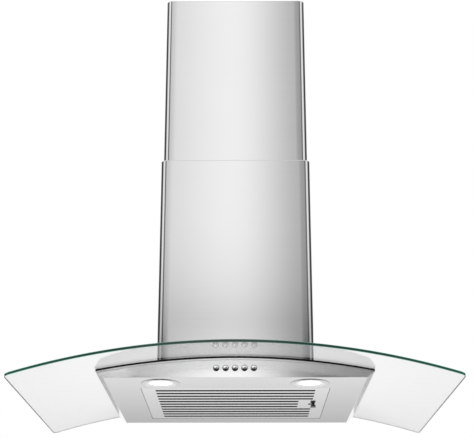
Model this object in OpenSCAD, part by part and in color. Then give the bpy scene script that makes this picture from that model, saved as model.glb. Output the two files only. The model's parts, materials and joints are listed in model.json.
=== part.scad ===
// Island range hood: telescopic steel chimney, bent glass canopy and a shallow steel body.
// Origin: centre of the ceiling bracket's top face. X to the right, Y to the back, Z up.

/* [Overall] */
// Height from the glass canopy's lowest corners to the ceiling
drop = 975; // [930:5:1020]

/* [Glass canopy] */
// Width of the glass
glass_w = 900; // [860:5:940]
// Depth of the glass
glass_d = 640; // [640:5:680]
// Thickness of the glass
glass_t = 6; // [5:1:8]
// Rise of the bend from the side edges to the middle
glass_sag = 68; // [62:1:74]
// Corner radius of the glass in plan
glass_corner_r = 12; // [8:1:20]

/* [Body] */
// Depth of the steel body under the glass
body_d = 505; // [495:1:510]
// Distance from the front edge of the glass to the control panel
front_overhang = 116; // [105:1:125]
// Half width of the body at the glass
body_half_top = 286.5; // [284:0.5:290]
// Half width of the body's flat underside
body_half_bottom = 270; // [266:1:274]
// Height of the underside above the lowest corners of the glass
underside_rise = 23.5; // [22:0.5:25]
// Sheet thickness of the body
sheet = 1.2; // [1:0.1:1.5]

/* [Chimney] */
// Width of the lower cover
lower_w = 340; // [338:1:344]
// Depth of the lower cover
lower_d = 280; // [278:1:284]
// Difference in width and in depth between the lower and upper covers
cover_step = 10; // [9:1:10]
// Distance from the ceiling to the top of the lower cover
lower_top = 420; // [400:5:440]
// Distance from the ceiling to the hidden lower end of the upper cover
upper_end = 560; // [540:5:580]
// Radius of the covers' vertical edges
cover_r = 13; // [10:1:14]
// Sheet thickness of the covers
cover_t = 1; // [0.8:0.1:1]

/* [Filter and lamps] */
// Width of the grease filter
filter_w = 402; // [398:1:404]
// Depth of the grease filter
filter_d = 344; // [340:1:346]
// Distance from the control panel to the filter
filter_front = 106; // [106:1:110]
// Number of air slots across the filter
slot_count = 11; // [9:2:11]
// Outer diameter of a lamp ring
lamp_d = 84; // [76:1:86]
// Half the distance between the lamps
lamp_x = 156; // [150:1:160]

/* [Controls] */
// Number of push buttons
button_count = 5; // [5:1:5]
// Diameter of a button
button_d = 12.3; // [11:0.1:13]
// Distance between buttons
button_pitch = 19.3; // [18:0.1:20]

/* [Hidden] */
$fn = 64;
fine = 720;

// Heights, all negative because the ceiling is zero
crown_z = -drop + glass_sag;
glass_r = (glass_w * glass_w / 4 + glass_sag * glass_sag) / (2 * glass_sag);
bend_z = crown_z - glass_r;
body_z = -drop + underside_rise;
flange_z = crown_z + glass_t + 3;
flange_t = 2;
box_h = 234;
box_top_z = flange_z + flange_t + box_h;

// Plan positions
body_front = -body_d / 2;
glass_front = body_front - front_overhang;
glass_mid_y = glass_front + glass_d / 2;
cut_w = 250;
cut_d = 190;
filter_y0 = body_front + filter_front;
filter_mid_y = filter_y0 + filter_d / 2;
filter_z = body_z + 0.5;
filter_h = 8;
lamp_y = body_front + 57.5;

// Layers under the glass
gasket_t = 4;
rim_t = 3.2;
panel_gap = 1.6;
panel_t = 2;
side_rise = 13;

// Chimney and frame half sizes
upper_w = lower_w - cover_step;
upper_d = lower_d - cover_step;
upper_rail_x = 158;
upper_rail_y = 128;
lower_rail_x = 155.5;
lower_rail_y = 125.5;
upper_rail_leg = 25;
lower_rail_leg = 22;
rail_t = 2;
upper_rail_end = -520;
lower_rail_top = -330;
rail_screw_z = -495;
slot_low_z = -800;
slot_high_z = -380;

// Blower
box_x = 145;
box_y = 115;
fan_y = -10;
fan_z = box_top_z - 113;
wheel_r = 75;
wheel_half = 48;
scroll_half = 56;
scroll_clear = 7;
scroll_growth = 36;
scroll_wall = 2;
throat_angle = 60;
collar_r = 75;
collar_z = box_top_z + 62;
collar_h = 50;
flap_axis_x = 4;
flap_z = collar_z + 18;

// ---------- Shared shapes ----------

// Rounded rectangle outline about the origin
module rounded_rect(w, d, r) {
  square([w - 2 * r, d], center = true);
  square([w, d - 2 * r], center = true);
  for (sx = [-1, 1], sy = [-1, 1])
    translate([sx * (w / 2 - r), sy * (d / 2 - r)]) circle(r);
}

// Rounded block standing on z
module rounded_block(w, d, r, z, h) {
  translate([0, 0, z]) linear_extrude(h) rounded_rect(w, d, r);
}

// Box from its lowest corner to its highest corner
module span(low, high) {
  translate(low) cube(high - low);
}

// Long cylinder along Y about the axis of the glass bend
module bend_drum(r) {
  translate([0, -600, bend_z]) rotate([-90, 0, 0]) cylinder(h = 1200, r = r, $fn = fine);
}

// Curved layer between two radii of the bend
module bend_layer(r_in, r_out) {
  difference() {
    bend_drum(r_out);
    bend_drum(r_in);
  }
}

// Closed profile of the body, seen from the front, shrunk inwards by t
module body_profile(t) {
  run = body_half_top - body_half_bottom;
  slope = norm([run, side_rise]);
  at_bottom = body_half_bottom + t * run / side_rise - t * slope / side_rise;
  at_top = body_half_top - t * slope / side_rise;
  polygon([
    [-at_bottom, body_z + t], [at_bottom, body_z + t],
    [at_top, body_z + side_rise], [at_top, crown_z + 20],
    [-at_top, crown_z + 20], [-at_top, body_z + side_rise]
  ]);
}

// Body profile as a solid from y0 to y1, cut off at radius r of the bend
module body_block(t, y0, y1, r) {
  intersection() {
    translate([0, y1, 0]) rotate([90, 0, 0]) linear_extrude(y1 - y0) body_profile(t);
    bend_drum(r);
  }
}

// Same item at the two mirrored X places
module both_sides() {
  for (s = [0, 1]) mirror([s, 0, 0]) children();
}

// Same item in the four corners
module four_corners() {
  for (sx = [0, 1], sy = [0, 1]) mirror([sx, 0, 0]) mirror([0, sy, 0]) children();
}

// ---------- Ceiling side ----------

bolt_x = 100;
bolt_y = 108;

module ceiling_bracket() {
  color("silver") difference() {
    union() {
      rounded_block(326, 266, cover_r, -3, 3);
      both_sides() span([161.5, -60, -22], [163, 60, -2.9]);
      for (s = [0, 1]) mirror([0, s, 0]) span([-70, 131.5, -22], [70, 133, -2.9]);
    }
    span([-90, -90, -10], [90, 90, 10]);
    translate([gland_x, gland_y, -10]) cylinder(h = 20, r = 12);
    for (x = [-bolt_x, bolt_x], y = [-bolt_y, bolt_y])
      translate([x, y, -10]) cylinder(h = 20, r = 4.5);
    both_sides() for (y = [-30, 30])
      translate([157, y, upper_screw_z]) rotate([0, 90, 0]) cylinder(h = 12, r = 2.1);
  }
}

// One angle rail with its outer corner at x, y
module angle_rail(x, y, leg, z0, z1) {
  span([x - leg, y - rail_t, z0], [x, y, z1]);
  span([x - rail_t, y - leg, z0], [x, y, z1]);
}

module upper_rails() {
  color("gainsboro") four_corners() difference() {
    angle_rail(upper_rail_x, upper_rail_y, upper_rail_leg, upper_rail_end, -3);
    for (dz = [0, 30])
      translate([upper_rail_x + 5, upper_rail_y - 14, rail_screw_z + dz])
        rotate([0, -90, 0]) cylinder(h = 12, r = 2.2);
  }
}

// Rounded tube wall of a cover between two heights
module cover_wall(w, d, z0, z1) {
  translate([0, 0, z0]) linear_extrude(z1 - z0) difference() {
    rounded_rect(w, d, cover_r);
    rounded_rect(w - 2 * cover_t, d - 2 * cover_t, cover_r - cover_t);
  }
}

// Front half of a cover, with holes for its side and front screws
module half_cover(w, d, z0, z1, screw_z) {
  difference() {
    intersection() {
      cover_wall(w, d, z0, z1);
      span([-200, -200, z0 - 1], [200, -0.15, z1 + 1]);
    }
    both_sides() translate([w / 2 - 5, -30, screw_z]) rotate([0, 90, 0]) cylinder(h = 10, r = 2.2);
  }
}

upper_screw_z = -12;
lower_screw_z = flange_z + 14;

module upper_cover_front() {
  color("lightgray") half_cover(upper_w, upper_d, -upper_end, -1, upper_screw_z);
}

module upper_cover_rear() {
  color("lightgray") mirror([0, 1, 0]) half_cover(upper_w, upper_d, -upper_end, -1, upper_screw_z);
}

// Pan-head cover screw pointing inwards along -X from x = 0
module pan_screw(length) {
  translate([-length, 0, 0]) rotate([0, 90, 0]) cylinder(h = length + 0.01, r = 2, $fn = 24);
  rotate([0, 90, 0]) cylinder(h = 1.6, r1 = 3.8, r2 = 2.6, $fn = 32);
}

module upper_cover_screws() {
  color("dimgray") both_sides() for (y = [-30, 30])
    translate([upper_w / 2, y, upper_screw_z]) pan_screw(3.4);
}

module rail_fasteners() {
  color("dimgray") four_corners() for (dz = [0, 30])
    translate([upper_rail_x, upper_rail_y - 14, rail_screw_z + dz]) {
      rotate([0, 90, 0]) cylinder(h = 2.8, r = 3.6, $fn = 6);
      translate([-8, 0, 0]) rotate([0, 90, 0]) cylinder(h = 8.01, r = 2, $fn = 24);
      translate([-8.2, 0, 0]) rotate([0, 90, 0]) cylinder(h = 3, r = 3.6, $fn = 6);
    }
}

// ---------- Chimney on the hood ----------

module lower_rails() {
  slot_y = upper_rail_y - 14;
  color("gainsboro") four_corners() difference() {
    angle_rail(lower_rail_x, lower_rail_y, lower_rail_leg, flange_z + flange_t, lower_rail_top);
    span([lower_rail_x - 5, slot_y - 2.5, slot_low_z], [lower_rail_x + 5, slot_y + 2.5, slot_high_z]);
  }
}

module lower_half_cover() {
  difference() {
    half_cover(lower_w, lower_d, crown_z - 30, -lower_top, lower_screw_z);
    bend_drum(glass_r + glass_t + 1);
  }
}

module lower_cover_front() {
  color("lightgray") lower_half_cover();
}

module lower_cover_rear() {
  color("lightgray") mirror([0, 1, 0]) lower_half_cover();
}

module lower_cover_screws() {
  color("dimgray") both_sides() for (y = [-30, 30])
    translate([lower_w / 2, y, lower_screw_z]) pan_screw(3.4);
}

// Places of the bolts that clamp the glass
glass_bolt_places = [[-80, -126.5], [80, -126.5], [-80, 126.5], [80, 126.5], [-158, 0], [158, 0]];

module base_flange() {
  color("silver") difference() {
    union() {
      rounded_block(335, 275, cover_r, flange_z, flange_t);
      both_sides() span([166, -60, flange_z + flange_t - 0.1], [167.5, 60, flange_z + 22]);
    }
    rounded_block(cut_w + 10, cut_d + 10, 15, flange_z - 5, 20);
    for (p = glass_bolt_places) translate([p[0], p[1], flange_z - 5]) cylinder(h = 20, r = 3.3);
    both_sides() for (y = [-30, 30])
      translate([160, y, lower_screw_z]) rotate([0, 90, 0]) cylinder(h = 12, r = 2.1);
  }
}

// Small screws along the foot of the blower box
module flange_screws() {
  color("dimgray") for (sy = [-1, 1], x = [-60, 60])
    translate([x, sy * (box_y + 0.01), flange_z + flange_t + 8]) rotate([0, 0, sy * 90]) pan_screw(3);
}

module blower_box() {
  z0 = flange_z + flange_t;
  wall = 1.2;
  color("silver") difference() {
    span([-box_x, -box_y, z0], [box_x, box_y, box_top_z]);
    span([-box_x + wall, -box_y + wall, z0 - 1], [box_x - wall, box_y - wall, box_top_z - wall]);
    translate([0, 0, box_top_z - 5]) linear_extrude(10) outlet_outline(0);
    translate([-118, -60, box_top_z - 5]) cylinder(h = 10, r = 5);
    for (sy = [-1, 1], x = [-60, 60])
      translate([x, sy * (box_y - 5), z0 + 8]) rotate([-sy * 90, 0, 0]) cylinder(h = 10, r = 2.1);
  }
}

module top_gasket() {
  color("black") difference() {
    rounded_block(332, 272, cover_r, crown_z - 20, flange_z - crown_z + 20);
    bend_drum(glass_r + glass_t);
    rounded_block(cut_w + 14, cut_d + 14, 15, crown_z - 30, 60);
    for (p = glass_bolt_places) translate([p[0], p[1], crown_z - 30]) cylinder(h = 60, r = 4.5);
  }
}

// ---------- Glass and body ----------

module glass_canopy() {
  color("lightcyan", 0.5) difference() {
    intersection() {
      bend_layer(glass_r, glass_r + glass_t);
      translate([0, glass_mid_y, 0]) rounded_block(glass_w, glass_d, glass_corner_r, -drop - 20, 140);
    }
    rounded_block(cut_w, cut_d, 15, crown_z - 60, 120);
    for (p = glass_bolt_places) translate([p[0], p[1], crown_z - 60]) cylinder(h = 120, r = 5);
  }
}

module gasket_ring(w, d, band) {
  difference() {
    intersection() {
      bend_layer(glass_r - gasket_t, glass_r);
      rounded_block(w, d, 3, -drop, 140);
    }
    rounded_block(w - 2 * band, d - 2 * band, 3, -drop - 5, 150);
  }
}

module glass_gasket() {
  color("black") {
    gasket_ring(2 * body_half_top, body_d, 13);
    difference() {
      gasket_ring(332, 272, 30);
      for (p = glass_bolt_places) translate([p[0], p[1], crown_z - 60]) cylinder(h = 120, r = 4.5);
    }
  }
}

module glass_bolts() {
  color("gray") for (p = glass_bolt_places) translate([p[0], p[1], 0]) {
    under = bend_z + sqrt(pow(glass_r - gasket_t, 2) - p[0] * p[0]) - 2.6;
    translate([0, 0, under - 4]) cylinder(h = 4.01, r = 5.5, $fn = 6);
    translate([0, 0, under]) cylinder(h = flange_z + flange_t + 7 - under, r = 3, $fn = 32);
    translate([0, 0, flange_z + flange_t]) cylinder(h = 5, r = 5, $fn = 6);
  }
}

module body_top_plate() {
  color("silver") difference() {
    intersection() {
      bend_layer(glass_r - gasket_t - sheet, glass_r - gasket_t);
      span([-body_half_top, body_front, -drop], [body_half_top, -body_front, crown_z + 20]);
    }
    rounded_block(cut_w, cut_d, 15, crown_z - 60, 120);
    for (p = glass_bolt_places) translate([p[0], p[1], crown_z - 60]) cylinder(h = 120, r = 3.3);
  }
}

module body_tray() {
  rim_r = glass_r - gasket_t - rim_t;
  front = body_front;
  back = -body_front;
  color("lightgray") difference() {
    body_block(0, front, back, glass_r - gasket_t - sheet);
    // Recess for the control panel
    body_block(-1, front - 1, front + panel_t, rim_r);
    // Hollow below the rim
    body_block(sheet, front + panel_t + sheet, back - sheet, rim_r);
    // Opening inside the rim
    span([-body_half_top + 17, front + 17, body_z + 20], [body_half_top - 17, back - 17, crown_z + 20]);
    // Filter opening
    span([-filter_w / 2 - 0.8, filter_y0 - 0.8, body_z - 1],
         [filter_w / 2 + 0.8, filter_y0 + filter_d + 0.8, body_z + 2]);
    for (s = [-1, 1]) translate([s * lamp_x, lamp_y, body_z - 1]) cylinder(h = 3, r = 36);
    for (i = [0:button_count - 1])
      translate([button_x(i), front + 1, button_z]) rotate([-90, 0, 0]) cylinder(h = 5, r = 7.5);
  }
}

function button_x(i) = (i - (button_count - 1) / 2) * button_pitch;
button_z = body_z + 19.5;

module control_panel() {
  color("lightgray") difference() {
    body_block(0, body_front, body_front + panel_t, glass_r - gasket_t - rim_t - panel_gap);
    for (i = [0:button_count - 1])
      translate([button_x(i), body_front - 1, button_z])
        rotate([-90, 0, 0]) cylinder(h = 5, r = button_d / 2 + 0.35);
  }
}

module switch_module() {
  y0 = body_front + panel_t + sheet;
  color("dimgray") difference() {
    span([-54, y0, button_z - 9], [54, y0 + 30, button_z + 9]);
    for (i = [0:button_count - 1])
      translate([button_x(i), y0 - 1, button_z]) rotate([-90, 0, 0]) {
        cylinder(h = 5, r = 7.4);
        cylinder(h = 24, r = 3.4);
      }
  }
}

// Domed button cap with its stem
module push_button(i) {
  dome_r = 14;
  cap_r = button_d / 2;
  cap_len = 5.4;
  dome_rise = dome_r - sqrt(dome_r * dome_r - cap_r * cap_r);
  color("silver") translate([button_x(i), body_front - 2.6, button_z]) rotate([-90, 0, 0])
    rotate_extrude() {
      square([cap_r, cap_len]);
      square([3, 20]);
      intersection() {
        translate([0, dome_r - dome_rise]) circle(dome_r, $fn = 128);
        translate([0, -dome_rise]) square([cap_r, dome_rise + 0.01]);
      }
    }
}

module button_power() push_button(0);
module button_low() push_button(1);
module button_medium() push_button(2);
module button_high() push_button(3);
module button_light() push_button(4);

// Step-shaped strip over the filter's front or back edge, drawn for the front
module ledge_strip() {
  y = filter_y0 - filter_mid_y;
  z = body_z + sheet;
  lip_z = filter_z + filter_h + 0.6;
  span([-198, y - 9, z], [198, y - 1.6, z + 1.2]);
  span([-198, y - 2.8, z], [198, y - 1.6, lip_z + 1.2]);
  span([-198, y - 2.8, lip_z], [198, y + 7, lip_z + 1.2]);
}

module filter_ledges() {
  color("silver") translate([0, filter_mid_y, 0]) for (s = [0, 1]) mirror([0, s, 0]) ledge_strip();
}

// ---------- Blower ----------

// Distance of the scroll's wall from the fan axis at an angle
function scroll_radius(a) = wheel_r + scroll_clear + scroll_growth * (a - throat_angle) / (360 - throat_angle);
scroll_exit = scroll_radius(360);
throat_y = scroll_radius(throat_angle) * cos(throat_angle);

// Side outline of the scroll, grown outwards by t
module scroll_outline(t) {
  top = box_top_z - fan_z - 1.2 - (t > 0 ? 0 : -1);
  polygon(concat(
    [for (a = [throat_angle:12:360]) (scroll_radius(a) + t) * [cos(a), sin(a)]],
    [[scroll_exit + t, top], [throat_y - t, top]]
  ));
}

// Solid of the scroll between two X positions
module scroll_solid(t, x0, x1) {
  translate([x0, fan_y, fan_z]) rotate([90, 0, 90]) linear_extrude(x1 - x0) scroll_outline(t);
}

// One half of the scroll housing with its inlet ring, drawn on the right
module volute_half() {
  difference() {
    scroll_solid(scroll_wall, 0.2, scroll_half);
    scroll_solid(0, -1, scroll_half - scroll_wall);
    translate([0, fan_y, fan_z]) rotate([0, 90, 0]) cylinder(h = 80, r = wheel_r - 11);
  }
  translate([scroll_half - 0.5, fan_y, fan_z]) rotate([0, 90, 0]) difference() {
    cylinder(h = 6, r1 = wheel_r - 9, r2 = wheel_r - 4);
    translate([0, 0, -1]) cylinder(h = 8, r1 = wheel_r - 12, r2 = wheel_r - 6.5);
  }
}

module volute_right() {
  color("dimgray") volute_half();
}

module volute_left() {
  color("dimgray") mirror([1, 0, 0]) volute_half();
}

// Curved blade outline at the wheel's rim
module blade_outline() {
  intersection() {
    difference() {
      translate([wheel_r - 9, 11]) circle(14.6, $fn = 48);
      translate([wheel_r - 9, 11]) circle(13.6, $fn = 48);
    }
    translate([wheel_r - 17, -4]) square([16.5, 10]);
  }
}

blade_count = 36;

module impeller() {
  color("darkgray") translate([-wheel_half, fan_y, fan_z]) rotate([90, 0, 90]) {
    linear_extrude(2 * wheel_half) for (i = [0:blade_count - 1])
      rotate(i * 360 / blade_count) blade_outline();
    for (z = [0, 2 * wheel_half - 3]) translate([0, 0, z]) linear_extrude(3) difference() {
      circle(wheel_r);
      circle(wheel_r - 4);
    }
    translate([0, 0, wheel_half - 1]) linear_extrude(2) difference() {
      circle(wheel_r - 1);
      circle(4);
    }
    translate([0, 0, wheel_half - 14]) linear_extrude(14) difference() {
      circle(12);
      circle(4);
    }
  }
}

motor_x0 = 8;
motor_len = 62;

module motor_shaft() {
  color("silver") translate([-wheel_half + 30, fan_y, fan_z]) rotate([0, 90, 0])
    cylinder(h = motor_x0 + motor_len - 10 + wheel_half - 30, r = 4);
  color("dimgray") translate([motor_x0 + 14, fan_y, fan_z]) rotate([0, 90, 0])
    cylinder(h = 34, r = 20);
}

module motor_housing() {
  color("gray") translate([motor_x0, fan_y, fan_z]) rotate([0, 90, 0]) difference() {
    cylinder(h = motor_len, r = 42);
    translate([0, 0, 2]) cylinder(h = motor_len - 4, r = 40);
    translate([0, 0, -1]) cylinder(h = 10, r = 4.05);
  }
}

module motor_stator() {
  color("brown") translate([motor_x0 + 14, fan_y, fan_z]) rotate([0, 90, 0]) difference() {
    cylinder(h = 34, r = 39.7);
    translate([0, 0, -1]) cylinder(h = 36, r = 20.6);
  }
}

// Three arms from the motor's end to the right half of the scroll
module motor_bracket() {
  x = motor_x0 + motor_len;
  color("silver") translate([x, fan_y, fan_z]) rotate([0, 90, 0]) difference() {
    union() {
      cylinder(h = 2, r = 42);
      for (a = [30, 150, 270]) rotate(a) {
        translate([30, -8, 0]) cube([50, 16, 2]);
        translate([78, -8, -x + scroll_half]) cube([2, 16, x - scroll_half + 2]);
      }
    }
    translate([0, 0, -1]) cylinder(h = 4, r = 14);
  }
}

module capacitor() {
  color("lightgray") translate([-126, 60, flange_z + 60]) cylinder(h = 62, r = 16);
  color("lightgray") span([-box_x + 1.2, 52, flange_z + 84], [-140, 68, flange_z + 100]);
}

// Outline of the scroll's outlet in plan
module outlet_outline(t) {
  translate([-scroll_half + scroll_wall - t, fan_y + throat_y - t])
    square([2 * (scroll_half - scroll_wall + t), scroll_exit - throat_y + 2 * t]);
}

// Rectangle-to-round transition between two heights
module transition(t, z0, z1) {
  hull() {
    translate([0, 0, z0]) linear_extrude(0.1) outlet_outline(t);
    translate([0, 0, z1 - 0.1]) cylinder(h = 0.1, r = collar_r - 3 + t, $fn = 32);
  }
}

module outlet_adaptor() {
  color("dimgray") difference() {
    union() {
      transition(2, box_top_z, collar_z);
      translate([0, 0, box_top_z]) linear_extrude(2) outlet_outline(6);
    }
    transition(0, box_top_z - 0.1, collar_z + 0.1);
  }
}

module duct_collar() {
  color("dimgray") translate([0, 0, collar_z]) difference() {
    union() {
      cylinder(h = collar_h, r = collar_r);
      cylinder(h = 2, r = collar_r + 4);
    }
    translate([0, 0, -1]) cylinder(h = 17, r = collar_r - 5.5);
    translate([0, 0, 15]) cylinder(h = collar_h, r = collar_r - 2);
    for (s = [-1, 1]) translate([s * flap_axis_x, -90, flap_z - collar_z])
      rotate([-90, 0, 0]) cylinder(h = 180, r = 1.5);
  }
}

module damper_pins() {
  color("silver") both_sides() translate([flap_axis_x, -collar_r, flap_z])
    rotate([-90, 0, 0]) cylinder(h = 2 * collar_r, r = 1.5);
}

// Half-round flap with its hinge barrel, drawn on the right
module damper_flap() {
  r = collar_r - 3;
  difference() {
    union() {
      intersection() {
        translate([0, 0, flap_z - 2.9]) cylinder(h = 1.5, r = r);
        span([flap_axis_x - 0.5, -r, flap_z - 5], [r, r, flap_z + 5]);
      }
      translate([flap_axis_x, -r + 4, flap_z]) rotate([-90, 0, 0]) cylinder(h = 2 * r - 8, r = 2.9);
    }
    translate([flap_axis_x, -90, flap_z]) rotate([-90, 0, 0]) cylinder(h = 180, r = 1.55);
  }
}

module damper_flap_right() {
  color("dimgray") damper_flap();
}

module damper_flap_left() {
  color("dimgray") mirror([1, 0, 0]) damper_flap();
}

box_low = [-142, -42, box_top_z];
box_high = [-92, 42, box_top_z + 34];
gland_x = -117;
gland_y = 20;

module terminal_box() {
  color("whitesmoke") difference() {
    span(box_low, box_high);
    span(box_low + [-1, 2, 2], box_high + [-2, -2, -2]);
    translate([-118, box_low[1] - 1, body_z + 310]) rotate([-90, 0, 0]) cylinder(h = 4, r = 3.6);
    translate([gland_x, gland_y, box_high[2] - 5]) cylinder(h = 10, r = 6.2);
  }
}

module terminal_cover() {
  color("whitesmoke") span(box_low - [2.4, 0, 0], [box_low[0], box_high[1], box_high[2]]);
}

// Gland for the mains lead
module cable_gland() {
  color("black") translate([gland_x, gland_y, box_high[2] - 6]) difference() {
    union() {
      cylinder(h = 24, r = 6.1);
      translate([0, 0, 6]) cylinder(h = 5, r = 9.5, $fn = 6);
      translate([0, 0, 13]) cylinder(h = 12, r = 9);
    }
    translate([0, 0, -1]) cylinder(h = 30, r = 4.2);
  }
}

// ---------- Lamps ----------

module lamp_place(s) {
  translate([s * lamp_x, lamp_y, body_z]) children();
}

module lamp_ring(s) {
  color("silver") lamp_place(s) rotate_extrude() polygon([
    [27, -1], [29, -2.2], [lamp_d / 2 - 2, -2.2], [lamp_d / 2, -1],
    [lamp_d / 2, 0], [35.4, 0], [35.4, 3], [33.5, 3], [33.5, 0.2], [27, 0.2]
  ]);
}

module lamp_ring_left() lamp_ring(-1);
module lamp_ring_right() lamp_ring(1);

module lamp_lens(s) {
  color("white") lamp_place(s) translate([0, 0, 0.3]) cylinder(h = 2, r = 33);
}

module lamp_lens_left() lamp_lens(-1);
module lamp_lens_right() lamp_lens(1);

module lamp_housing(s) {
  color("silver") lamp_place(s) translate([0, 0, 3.2]) difference() {
    cylinder(h = 15, r = 34);
    translate([0, 0, -1]) cylinder(h = 14.8, r = 32.8);
  }
}

module lamp_housing_left() lamp_housing(-1);
module lamp_housing_right() lamp_housing(1);

module lamp_board(s) {
  color("gold") lamp_place(s) {
    translate([0, 0, 15.3]) cylinder(h = 1.6, r = 24);
    for (a = [0:60:300]) rotate(a) translate([15, 0, 14]) cylinder(h = 1.4, r = 2.4, $fn = 24);
  }
}

module lamp_board_left() lamp_board(-1);
module lamp_board_right() lamp_board(1);

module lamp_driver() {
  color("whitesmoke") translate([0, -183, body_z + sheet]) {
    rounded_block(96, 34, 3, 0, 22);
    for (s = [-1, 1]) translate([s * 48, 0, 0]) rounded_block(16, 12, 3, 0, 2);
  }
}

// ---------- Wiring ----------

// Points of the control cable, from the switches to the terminal box
cable_points = [
  [-40, -215.5, body_z + 20], [-60, -205, body_z + 22], [-90, -175, body_z + 24],
  [-105, -140, body_z + 24], [-112, -108, body_z + 25], [-114, -90, body_z + 29],
  [-115, -80, body_z + 42], [-116, -72, body_z + 64],
  [-118, -67, body_z + 92], [-124, -70, body_z + 130],
  [-126, -76, body_z + 180], [-126, -76, body_z + 220], [-123, -70, body_z + 250],
  [-119, -62, body_z + 270], [-118, -60, body_z + 292], [-118, -58, body_z + 300],
  [-118, -52, body_z + 308], [-118, -36, body_z + 310]
];
cable_r = 3;

// Point on the smooth curve through the points, at u from 0 to the last index
function curve_at(p, u) =
  let (n = len(p) - 1, i = min(floor(u), n - 1), t = u - i,
       a = p[max(i - 1, 0)], b = p[i], c = p[i + 1], d = p[min(i + 2, n)])
  0.5 * (2 * b + (c - a) * t + (2 * a - 5 * b + 4 * c - d) * t * t
         + (3 * b - a - 3 * c + d) * t * t * t);
function unit(v) = v / norm(v);

// Round tube along the points
module tube_along(p, r, per_point, sides) {
  rings = (len(p) - 1) * per_point;
  at = [for (i = [0:rings]) curve_at(p, i / per_point)];
  dir = [for (i = [0:rings]) unit(at[min(i + 1, rings)] - at[max(i - 1, 0)])];
  side = [1, 0.3, 0];
  pts = [for (i = [0:rings], k = [0:sides - 1])
    let (u = unit(cross(dir[i], side)), v = cross(dir[i], u))
    at[i] + r * (cos(k * 360 / sides) * u + sin(k * 360 / sides) * v)];
  walls = [for (i = [0:rings - 1], k = [0:sides - 1], h = [0, 1])
    let (j = (k + 1) % sides, a = i * sides + k, b = i * sides + j,
         c = (i + 1) * sides + j, d = (i + 1) * sides + k)
    h == 0 ? [a, b, c] : [a, c, d]];
  ends = [[for (k = [sides - 1:-1:0]) k], [for (k = [0:sides - 1]) rings * sides + k]];
  polyhedron(points = pts, faces = concat(walls, ends), convexity = 8);
}

module control_cable() {
  color("black") tube_along(cable_points, cable_r, 3, 10);
}

// ---------- Grease filter ----------

slot_pitch = 29;
slot_w = 14;
slot_half = 172;
slot_short_end = 141;
latch_x = 175;

module filter_face() {
  w = filter_w / 2;
  d = filter_d / 2;
  color("lightgray") translate([0, filter_mid_y, filter_z]) {
    difference() {
      span([-w, -d, 0], [w, d, filter_h - 1.2]);
      span([-w + 1, -d + 1, 1], [w - 1, d - 1, filter_h]);
      for (i = [0:slot_count - 1]) {
        y = (i - (slot_count - 1) / 2) * slot_pitch;
        right = abs(y) < 1.5 * slot_pitch ? slot_short_end : slot_half;
        span([-slot_half, y - slot_w / 2, -1], [right, y + slot_w / 2, 2]);
      }
      span([latch_x - 11, -6.8, -1], [latch_x + 4.2, 6.8, 2]);
      span([w - 2, -7.2, 1], [w + 1, 7.2, 5.3]);
    }
    for (y = [-110, 110]) span([-w - 5, y - 12, 2.2], [-w + 0.5, y + 12, 4]);
  }
}

module filter_mesh() {
  w = filter_w / 2 - 1.4;
  d = filter_d / 2 - 1.4;
  color("darkgray") translate([0, filter_mid_y, filter_z]) difference() {
    span([-w, -d, 1.2], [w, d, filter_h - 1.4]);
    span([slot_short_end + 4, -42, 0], [w + 1, 42, filter_h]);
  }
}

module filter_back() {
  w = filter_w / 2;
  d = filter_d / 2;
  color("silver") translate([0, filter_mid_y, filter_z]) difference() {
    span([-w, -d, filter_h - 1.2], [w, d, filter_h]);
    for (x = [-150:50:100], y = [-126:42:126])
      span([x - 21, y - 17, 0], [x + 21, y + 17, filter_h + 1]);
  }
}

// Sliding latch: bar, thumb piece and bolt
module filter_latch() {
  color("dimgray") translate([0, filter_mid_y, filter_z]) {
    span([latch_x - 9, -14, 1.4], [latch_x + 12, 14, 3.4]);
    span([latch_x + 11.9, -6, 1.4], [filter_w / 2 - 0.1, 6, 4.4]);
    span([latch_x - 3, -6, -4], [latch_x + 3, 6, 1.5]);
    span([latch_x - 5.5, -9, -6.5], [latch_x + 5.5, 9, -4]);
  }
}

ceiling_bracket();
upper_rails();
upper_cover_front();
upper_cover_rear();
upper_cover_screws();
rail_fasteners();
lower_rails();
lower_cover_front();
lower_cover_rear();
lower_cover_screws();
base_flange();
flange_screws();
blower_box();
top_gasket();
glass_canopy();
glass_gasket();
glass_bolts();
body_top_plate();
body_tray();
control_panel();
switch_module();
filter_ledges();
volute_left();
volute_right();
motor_housing();
motor_stator();
motor_bracket();
capacitor();
outlet_adaptor();
duct_collar();
damper_pins();
terminal_box();
terminal_cover();
cable_gland();
lamp_ring_left();
lamp_ring_right();
lamp_lens_left();
lamp_lens_right();
lamp_housing_left();
lamp_housing_right();
lamp_board_left();
lamp_board_right();
lamp_driver();
control_cable();
filter_face();
filter_mesh();
filter_back();
filter_latch();
impeller();
motor_shaft();
damper_flap_left();
damper_flap_right();
button_power();
button_low();
button_medium();
button_high();
button_light();
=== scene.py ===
"""Island range hood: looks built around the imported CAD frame. Metres, Z up, -Y towards the control panel."""
import json
import math

import bmesh
import bpy
from mathutils import Matrix, Vector


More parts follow.
